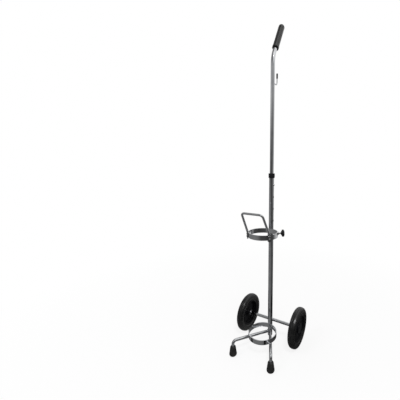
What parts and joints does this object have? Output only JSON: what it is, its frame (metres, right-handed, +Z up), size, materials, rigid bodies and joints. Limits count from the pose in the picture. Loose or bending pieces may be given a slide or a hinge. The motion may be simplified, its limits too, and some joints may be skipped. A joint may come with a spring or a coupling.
{
  "type": "gas cylinder trolley",
  "caption": "Chromed trolley for an upright gas cylinder: telescopic pole with a bent grip, wheels on an axle, front feet, holding rings, a front loop and a clamp screw.",
  "frame": {"origin": "on the floor, in the middle of the plan outline", "axes": "+Z up along the pole, +X along the axle to the trolley's right, -Y towards the cylinder and feet"},
  "size_m": [0.257, 0.2548, 1.2368],
  "materials": {
    "chrome": "polished",
    "steel": "bright zinc",
    "black_plastic": "satin",
    "nylon": "satin",
    "rubber": "satin",
    "tyre": "smooth"
  },
  "bodies": {
    "frame": {"lower_pole": "chrome", "pole_end_plug": "black_plastic", "pole_collar": "black_plastic", "axle": "chrome", "left_leg": "chrome", "right_leg": "chrome", "left_foot": "rubber", "right_foot": "rubber", "base_ring": "chrome", "upper_ring": "chrome", "front_loop": "chrome", "loop_rivets": "steel", "clamp_nut": "steel", "inner_washers": "chrome", "outer_washers": "chrome", "axle_nuts": "steel"},
    "left_wheel": {"left_tyre": "tyre", "left_rim": "black_plastic", "left_bush": "black_plastic", "left_hub_cap": "black_plastic"},
    "right_wheel": {"right_tyre": "tyre", "right_rim": "black_plastic", "right_bush": "black_plastic", "right_hub_cap": "black_plastic"},
    "handle": {"handle_tube": "chrome", "handle_grip": "rubber", "hook_wire": "chrome", "hook_tip": "black_plastic", "button_spring": "steel"},
    "button": {"snap_button": "steel"},
    "clamp_tip": {"clamp_swivel_tip": "nylon"},
    "clamp_screw": {"clamp_screw": "steel", "clamp_knob": "black_plastic"}
  },
  "joints": [
    {"name": "left_wheel_spin", "type": "hinge", "parent": "frame", "child": "left_wheel", "pos_m": [-0.1145, 0.0504, 0.077], "axis": [1, 0, 0], "continuous": true},
    {"name": "right_wheel_spin", "type": "hinge", "parent": "frame", "child": "right_wheel", "pos_m": [0.1145, 0.0504, 0.077], "axis": [1, 0, 0], "continuous": true},
    {"name": "handle_slide", "type": "slide", "parent": "frame", "child": "handle", "axis": [0, 0, 1], "range_m": [-0.138, 0], "deforming": ["snap_button"]},
    {"name": "button_press", "type": "slide", "parent": "handle", "child": "button", "axis": [1, 0, 0], "range_m": [-0.0044, 0], "stiffness_N_per_m": 1200, "springref_m": 0.001, "deforming": ["button_spring"]},
    {"name": "clamp_travel", "type": "slide", "parent": "frame", "child": "clamp_tip", "axis": [-0.7771, -0.6293, 0], "range_m": [0, 0.008]},
    {"name": "clamp_turn", "type": "hinge", "parent": "clamp_tip", "child": "clamp_screw", "pos_m": [0, -0.0297, 0.4625], "axis": [-0.7771, -0.6293, 0], "range_deg": [0, 2880]}
  ],
  "couplings": [
    {"joint": "clamp_travel", "follows": "clamp_turn", "m_per_rad": 0.0001591}
  ]
}
